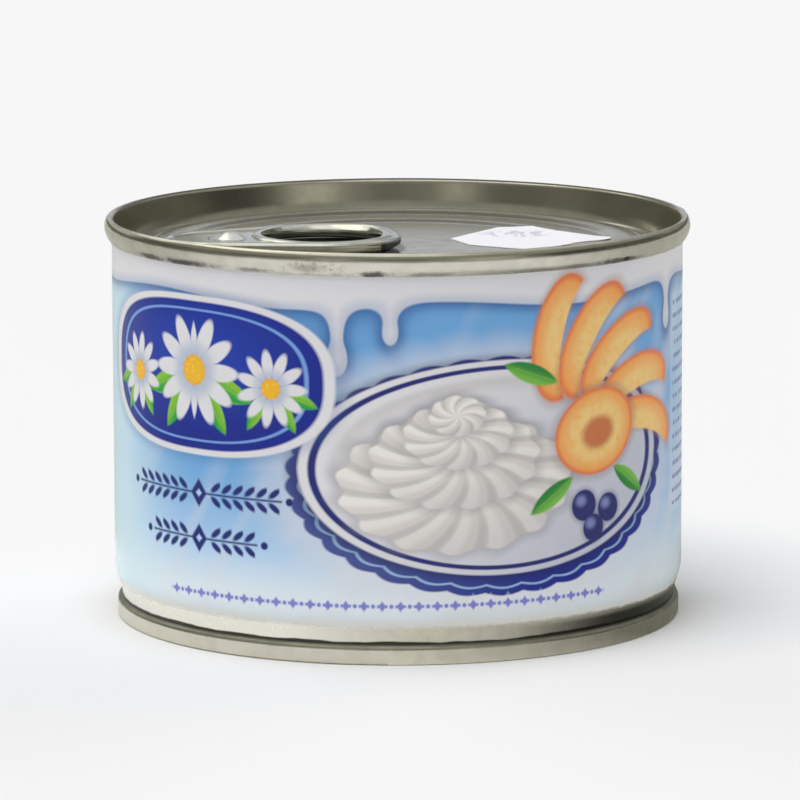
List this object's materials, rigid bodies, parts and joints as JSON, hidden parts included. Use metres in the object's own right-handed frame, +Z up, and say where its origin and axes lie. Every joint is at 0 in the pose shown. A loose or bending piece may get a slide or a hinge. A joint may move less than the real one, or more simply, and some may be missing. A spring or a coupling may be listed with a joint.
{
  "type": "canned cream",
  "caption": "Shut round tin of cream with a necked foot, double-seamed ends, a ring-pull lid and a small price sticker.",
  "frame": {"origin": "centre of the ring that the tin stands on, at table level", "axes": "+Z up along the tin's axis; the side of the print with the badge and the dish faces -Y, and the tab's nose points to -X"},
  "size_m": [0.0762, 0.0762, 0.0522],
  "materials": {
    "printed_steel": "glossy litho print on tinplate",
    "lid_steel": "satin tinplate with a clear lacquer",
    "base_steel": "satin tinplate with a clear lacquer",
    "tab_steel": "bright tinplate",
    "sticker_paper": "matt white label paper"
  },
  "bodies": {
    "root": {"can_body": "printed_steel", "top_end": "lid_steel", "bottom_end": "base_steel", "pull_tab": "tab_steel", "price_sticker": "sticker_paper"}
  },
  "joints": []
}
